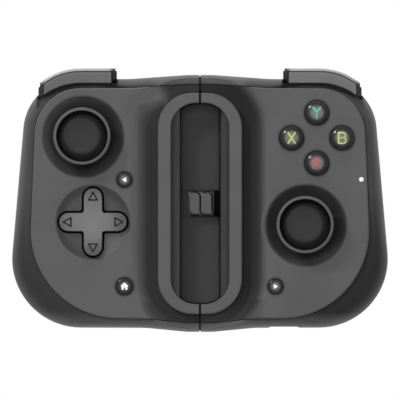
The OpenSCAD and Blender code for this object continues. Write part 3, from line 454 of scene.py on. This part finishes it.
MATERIALS = {
    # front mouldings: even mid grey with a fine eroded grain, and painted light and shade in the valley,
    # wells, dish and round the buttons
    "left plate": moulded("PC-ABS plate, fine eroded grain, left",
                          tone=left_plate_light_and_shade(), **PLATE_FINISH),
    "right plate": moulded("PC-ABS plate, fine eroded grain, right",
                           tone=right_plate_painted_shade(), **PLATE_FINISH),
    # rear mouldings: painted darker towards the plate as shade, with a grain coarse enough to feel
    "left shell": moulded("PC-ABS shell, coarse grain, left",
                          tone=shell_light_and_shade(LEFT, LEFT_CORNER_SHADE, edge_end=-39.0), **SHELL_FINISH),
    "right shell": moulded("PC-ABS shell, coarse grain, right",
                           tone=times(shell_light_and_shade(RIGHT, RIGHT_CORNER_SHADE, edge_end=-39.5), socket_dent_shade()),
                           **SHELL_FINISH),
    # shoulder mouldings: satin; the triggers' pale upper edge is a painted highlight, and both triggers and
    # bumpers carry painted shade
    # a pale grey that shows only at the upper edge, as a painted highlight
    "trigger": moulded("PC-ABS trigger, satin", "b0b0b1", rough=0.4, grain=0.2, depth=0.004, edge=0.3,
                       tone=trigger_highlight_and_shade()),
    # the bumpers are one moulding painted in two greys, as a lit and a shaded copy
    "left bumper": moulded("PC-ABS bumper, satin, left", "69696a",
                           tone=bumper_painted_shade("left_bumper"), **BUMPER_FINISH),
    "right bumper": moulded("PC-ABS bumper, satin, right", "737374",
                            tone=bumper_painted_shade("right_bumper"), **BUMPER_FINISH),
    # thumb caps: grey elastomer, darker in the dished centre, with painted shade in the groove inside the
    # ring
    "left cap": moulded("TPU thumb cap, left", tone=cap_tone_and_groove_shade("left_stick_cap"), **CAP_FINISH),
    "right cap": moulded("TPU thumb cap, right", tone=cap_tone_and_groove_shade("right_stick_cap"), **CAP_FINISH),
    # slot linings, bridge pad and plug boot: matt elastomer; the linings and the pad carry painted light
    # and shade, and the left lining is painted lighter than the right as a lit copy
    "left lining": moulded("TPU slot lining, left", "747475", tone=LEFT_LINING_LIGHT_SHADE, **LINING_FINISH),
    "right lining": moulded("TPU slot lining, right", "525253", tone=RIGHT_LINING_LIGHT_SHADE, **LINING_FINISH),
    "panel": moulded("TPU bridge pad", "424243", rough=0.6, grain=0.3, depth=0.01, tone=PANEL_SHADE),
    "boot": moulded("TPU plug boot", "050505", rough=0.8, grain=0.3, depth=0.01, specular=0.1),
    # direction pad: satin with softened edges, darkened as painted shade, and paler towards its upper-left
    # middle as painted light
    "dpad": moulded("PC-ABS direction pad, satin", "7d7d7e", rough=0.45, grain=0.18, depth=0.004, edge=0.4,
                    edge_wear_shade=-0.5, shade_lean=(0.7, -0.7, 0), tone=CROSS_LIGHT_SHADE),
    # pins, screws, straps and yokes: bright metal with fine drawn lines
    "steel": metal("nickel plated steel", "b4b4b2", rough=0.34, brush=0.12),
    # plug: an even satin grey, darker past its right edge
    "plug": moulded("satin plug shell", "5b5b5c", rough=0.4, grain=0.2, depth=0.003, tone=PLUG_TONE),
    # inside pieces: a green-black board, slick grey acetal, and nylon made duller by its glass fibres
    "board": moulded("black solder mask", "0b100d", rough=0.35, grain=0.4, depth=0.01),
    "mechanism": moulded("acetal mechanism", "2a2a2b", rough=0.45, grain=0.3, depth=0.006),
    "bridge": moulded("glass filled nylon bridge", "39393a", rough=0.55, grain=0.35, depth=0.015),
    # status light: milky lens, its bright middle painted on as light
    "light": moulded("milky polycarbonate lens", "ffffff", rough=0.4, grain=0.2, depth=0.001, drift=0.0,
                     tone=LIGHT_PAINTED_GLOW),
}
MADE_OF = {
    "left plate": "left_front_plate",
    "right plate": "right_front_plate",
    "left shell": "left_rear_shell",
    "right shell": "right_rear_shell",
    "trigger": "left_trigger right_trigger",
    "left bumper": "left_bumper",
    "right bumper": "right_bumper",
    "left cap": "left_stick_cap",
    "right cap": "right_stick_cap",
    "left lining": "left_cradle_pad",
    "right lining": "right_cradle_pad face_button_mat",
    "panel": "bridge_pad",
    "boot": "plug_boot",
    "dpad": "dpad",
    "steel": "left_screws right_screws left_bumper_pin right_bumper_pin left_trigger_pin right_trigger_pin "
             "charge_port left_stick_yoke right_stick_yoke dpad_ring left_strap right_strap",
    "plug": "phone_plug",
    "board": "left_board right_board",
    "mechanism": "left_switches right_switches left_stick_base right_stick_base dpad_base "
                 "left_stick_rocker right_stick_rocker",
    "bridge": "bridge_back bridge_front",
    "light": "status_light",
}
# domed buttons: polished dark polycarbonate, paler in the middle, with a crisp glint
for name in "button_a button_b button_x button_y view_button home_button menu_button".split():
    core = FACE_CORE if name.startswith("button") else SMALL_CORE
    MATERIALS[name] = moulded("smoked polycarbonate lens, " + name,
                              tone=lens_tone(name, core), **LENS_FINISH)
    MADE_OF[name] = name

WELD_GAP = 0.002
SHARP_DEGREES = 34


def smooth(obj):
    """Shades the moulded facets as one surface and keeps the real edges crisp."""
    mesh = obj.data
    if "custom_normal" in mesh.attributes:
        mesh.attributes.remove(mesh.attributes["custom_normal"])
    mesh.polygons.foreach_set("use_smooth", [True] * len(mesh.polygons))
    weld = obj.modifiers.new("weld", "WELD")
    weld.merge_threshold = WELD_GAP * MM
    split = obj.modifiers.new("edges", "EDGE_SPLIT")
    split.split_angle = math.radians(SHARP_DEGREES)
    split.use_edge_sharp = False


for key, names in MADE_OF.items():
    for name in names.split():
        obj = nodes[name]
        obj.data.materials.clear()
        obj.data.materials.append(MATERIALS[key])
        smooth(obj)


# Legends: strokes laid as thin films on the pieces they mark

# share of half a stroke's width by which it runs on past its ends
RUN_ON = 0.7
SHORTEST = 0.01
FILM_THICK = 0.03
FILM_GRID = 0.25
# rays fall on the part from well above it
RAY_START = 100
DOWN = Vector((0, 0, -1))


def ribbon(points, width):
    """Quads of the given width along a path of 2D points, with square ends."""
    quads = []
    for a, b in zip(points, points[1:]):
        a, b = Vector(a), Vector(b)
        if (b - a).length < SHORTEST:
            continue
        d = (b - a).normalized() * width / 2
        n = Vector((-d.y, d.x))
        a, b = a - d * RUN_ON, b + d * RUN_ON
        quads.append([a - n, b - n, b + n, a + n])
    return quads


def arc(x, y, rx, ry, start, stop, steps=10):
    """Points on an ellipse about (x, y), from one angle to another in degrees."""
    turns = [math.radians(start + (stop - start) * i / steps) for i in range(steps + 1)]
    return [(x + rx * math.cos(turn), y + ry * math.sin(turn)) for turn in turns]


def lay(name, node, quads, at, mat, lift=0.02):
    """Lays quads about a point on the top of a CAD node, as one thin printed film."""
    mesh = nodes[node].data
    top = BVHTree.FromPolygons([v.co for v in mesh.vertices], [tuple(p.vertices) for p in mesh.polygons])
    verts, faces = [], []
    for quad in quads:
        a, b, c, d = (Vector(corner) for corner in quad)
        base = len(verts)
        m = math.ceil((b - a).length / FILM_GRID)
        n = math.ceil((d - a).length / FILM_GRID)
        for i in range(m + 1):
            for j in range(n + 1):
                p = a.lerp(b, i / m).lerp(d.lerp(c, i / m), j / n)
                x, y = (at.x + p.x) * MM, (at.y + p.y) * MM
                hit = top.ray_cast(Vector((x, y, RAY_START * MM)), DOWN)[0]
                z = hit.z if hit else at.z * MM
                verts.append((x, y, z + lift * MM))
        for i in range(m):
            for j in range(n):
                k = base + i * (n + 1) + j
                faces.append((k, k + n + 1, k + n + 2, k + 1))
    made = bpy.data.meshes.new(name)
    made.from_pydata(verts, [], faces)
    obj = bpy.data.objects.new(name, made)
    scene.collection.objects.link(obj)
    made.materials.append(mat)
    film = obj.modifiers.new("film", "SOLIDIFY")
    film.thickness = FILM_THICK * MM
    film.offset = -1
    return obj


# letters of the face buttons; the glow of all legends is emission, as painted light
STROKE = 0.5
LETTER_GLOW, SIGN_GLOW = 0.15, 0.3
UPPER_BOWL = arc(0.3, 0.97, 0.95, 0.88, 90, -90)
LOWER_BOWL = arc(0.4, -0.88, 1.0, 0.97, 90, -90)
LETTERS = {
    "x": [[(-1.25, -1.85), (1.25, 1.85)], [(-1.25, 1.85), (1.25, -1.85)]],
    "y": [[(-1.3, 1.9), (0, 0.2)], [(1.3, 1.9), (0, 0.2)], [(0, 0.2), (0, -1.9)]],
    "b": [[(-1.2, -1.85), (-1.2, 1.85)],
          [(-1.2, 1.85), (0.3, 1.85)] + UPPER_BOWL + [(-1.2, 0.09)],
          [(-1.2, 0.09), (0.4, 0.09)] + LOWER_BOWL + [(-1.2, -1.85)]],
    "a": [[(-1.35, -1.8), (0, 1.85)], [(1.35, -1.8), (0, 1.85)], [(-0.95, -0.65), (0.95, -0.65)]],
}
HUES = {"x": "c6ca66", "y": "5fc0b2", "b": "c3cf77", "a": "c05a5c"}
for letter, strokes in LETTERS.items():
    node = "button_" + letter
    quads = [quad for stroke in strokes for quad in ribbon(stroke, STROKE)]
    lit = ink("legend ink " + letter, HUES[letter], LETTER_GLOW)
    mark = lay("legend_" + letter, node, quads, middle(node), lit)
    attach(mark, node)

# signs of the small buttons: a house of roof, two walls and a lintel, and two arrowheads
WHITE = ink("white legend ink", "f4f4f2", SIGN_GLOW)
HOUSE = [
    [(-1.35, 0.05), (1.35, 0.05), (0.02, 1.35), (-0.02, 1.35)],
    [(-1.0, -1.15), (-0.35, -1.15), (-0.35, 0.1), (-1.0, 0.1)],
    [(0.35, -1.15), (1.0, -1.15), (1.0, 0.1), (0.35, 0.1)],
    [(-0.4, -0.35), (0.4, -0.35), (0.4, 0.1), (-0.4, 0.1)],
]
BACK = [[(0.6, -0.85), (0.6, 0.85), (-0.8, 0.02), (-0.8, -0.02)]]
ONWARD = [[(-0.6, 0.85), (-0.6, -0.85), (0.8, -0.02), (0.8, 0.02)]]
for node, quads in (("home_button", HOUSE), ("view_button", BACK), ("menu_button", ONWARD)):
    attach(lay("legend_" + node, node, quads, middle(node), WHITE), node)

# outlined arrows printed on the arms of the direction pad
DARK = ink("arrow ink", "1a1a1b")
ARROW = [(-1.5, 0.0), (1.5, 0.0), (0.0, 2.7), (-1.5, 0.0)]
ARROW_OUT = 7.7
ARROW_LIFT = 0.01
for turn in range(4):
    c, s = math.cos(math.radians(90 * turn)), math.sin(math.radians(90 * turn))
    path = [(x * c - (y + ARROW_OUT) * s, x * s + (y + ARROW_OUT) * c) for x, y in ARROW]
    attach(lay("arrow_%d" % turn, "dpad", ribbon(path, STROKE), PAD, DARK, lift=ARROW_LIFT), "dpad")

# painted shadow lines between the plates of the plug's shell: x of each, and the first of the path's points
# it has
GAP = ink("shadow gap", "0c0c0d")
GAP_WIDTH = 0.6
GAP_STARTS = ((-3.75, 3), (0.1, 0), (4.3, 0))
GAP_PATH = [(-3.2, 2.7), (-1.2, 2.7), (-0.25, 1.9), (0.0, 1.2), (0.0, -3.7), (0.35, -4.5), (1.1, -5.15),
            (3.2, -5.15)]
PLUG_RIGHT = 4.85
PLUG_MIDDLE = Vector((0, 0, 13))
for i, (start, first) in enumerate(GAP_STARTS):
    path = [(start + x, y) for x, y in GAP_PATH[first:] if start + x < PLUG_RIGHT]
    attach(lay("plug_line_%d" % i, "phone_plug", ribbon(path, GAP_WIDTH), PLUG_MIDDLE, GAP), "right_grip")


# Floor and lamps, in metres

AIM = Vector((0, 0, 0.01))
FLOOR_REACH = 3
FLOOR_LEVEL = -0.0002
ROOM_STRENGTH = 0.15


def area(name, place, size, watts, gloss=False):
    """Disc lamp aimed at the part; most stay out of reflections, so that a dome shows one small glint."""
    lamp = bpy.data.lights.new(name, "AREA")
    lamp.shape = "DISK"
    lamp.size = size
    lamp.energy = watts
    obj = bpy.data.objects.new(name, lamp)
    scene.collection.objects.link(obj)
    obj.location = place
    obj.rotation_euler = (AIM - Vector(place)).to_track_quat("-Z", "Y").to_euler()
    obj.visible_camera = False
    obj.visible_glossy = gloss


def paper():
    """White paper: plain white to the eye and in reflections, matt and pale under all other light."""
    mat, tree, shader = fresh("white paper sweep")
    shader.inputs["Base Color"].default_value = linear("e6e6e6")
    shader.inputs["Roughness"].default_value = 0.9
    seen = put(tree, "ShaderNodeLightPath")
    direct = put(tree, "ShaderNodeMath", None, {0: (seen, "Is Camera Ray"), 1: (seen, "Is Glossy Ray")},
                 operation="MAXIMUM")
    through = put(tree, "ShaderNodeMath", None, {0: (direct, "Value"), 1: (seen, "Is Transmission Ray")},
                  operation="MAXIMUM")
    white = put(tree, "ShaderNodeEmission", {"Color": (1, 1, 1, 1), "Strength": 1.0})
    mixed = put(tree, "ShaderNodeMixShader", None,
                {"Fac": (through, "Value"), 1: (shader, "BSDF"), 2: (white, "Emission")})
    tree.links.new(mixed.outputs["Shader"], tree.nodes["Material Output"].inputs["Surface"])
    return mat


floor_mesh = bpy.data.meshes.new("floor")
corners = [(-1, -1), (1, -1), (1, 1), (-1, 1)]
floor_mesh.from_pydata([(x * FLOOR_REACH, y * FLOOR_REACH, 0) for x, y in corners], [], [(0, 1, 2, 3)])
floor_mesh.materials.append(paper())
floor = bpy.data.objects.new("floor", floor_mesh)
floor.location.z = FLOOR_LEVEL
scene.collection.objects.link(floor)

area("front", (-0.06, 0.12, 1.3), size=0.6, watts=9.7)
area("glint", (-0.57, 0.57, 0.75), size=0.22, watts=3, gloss=True)
area("rim", (0.0, 1.0, 0.25), size=0.5, watts=4)
area("low", (0.0, -1.0, 0.25), size=0.5, watts=1)
world = bpy.data.worlds.new("room")
scene.world = world
world.use_nodes = True
world.node_tree.nodes["Background"].inputs["Color"].default_value = (1, 1, 1, 1)
world.node_tree.nodes["Background"].inputs["Strength"].default_value = ROOM_STRENGTH

# Camera: a long lens far above, so that the view is flat and FRAME_WIDTH across at FRAME_LEVEL

FRAME_WIDTH = 140
FRAME_LEVEL = 16
LENS_LENGTH = 1200
SENSOR_WIDTH = 36
cam = bpy.data.cameras.new("camera")
cam.lens = LENS_LENGTH
cam.sensor_width = SENSOR_WIDTH
cam.clip_end = 20
eye = bpy.data.objects.new("camera", cam)
scene.collection.objects.link(eye)
eye.location = (0.0, 0.0, (FRAME_LEVEL + FRAME_WIDTH * LENS_LENGTH / SENSOR_WIDTH) * MM)
scene.camera = eye
scene.view_settings.view_transform = "Standard"
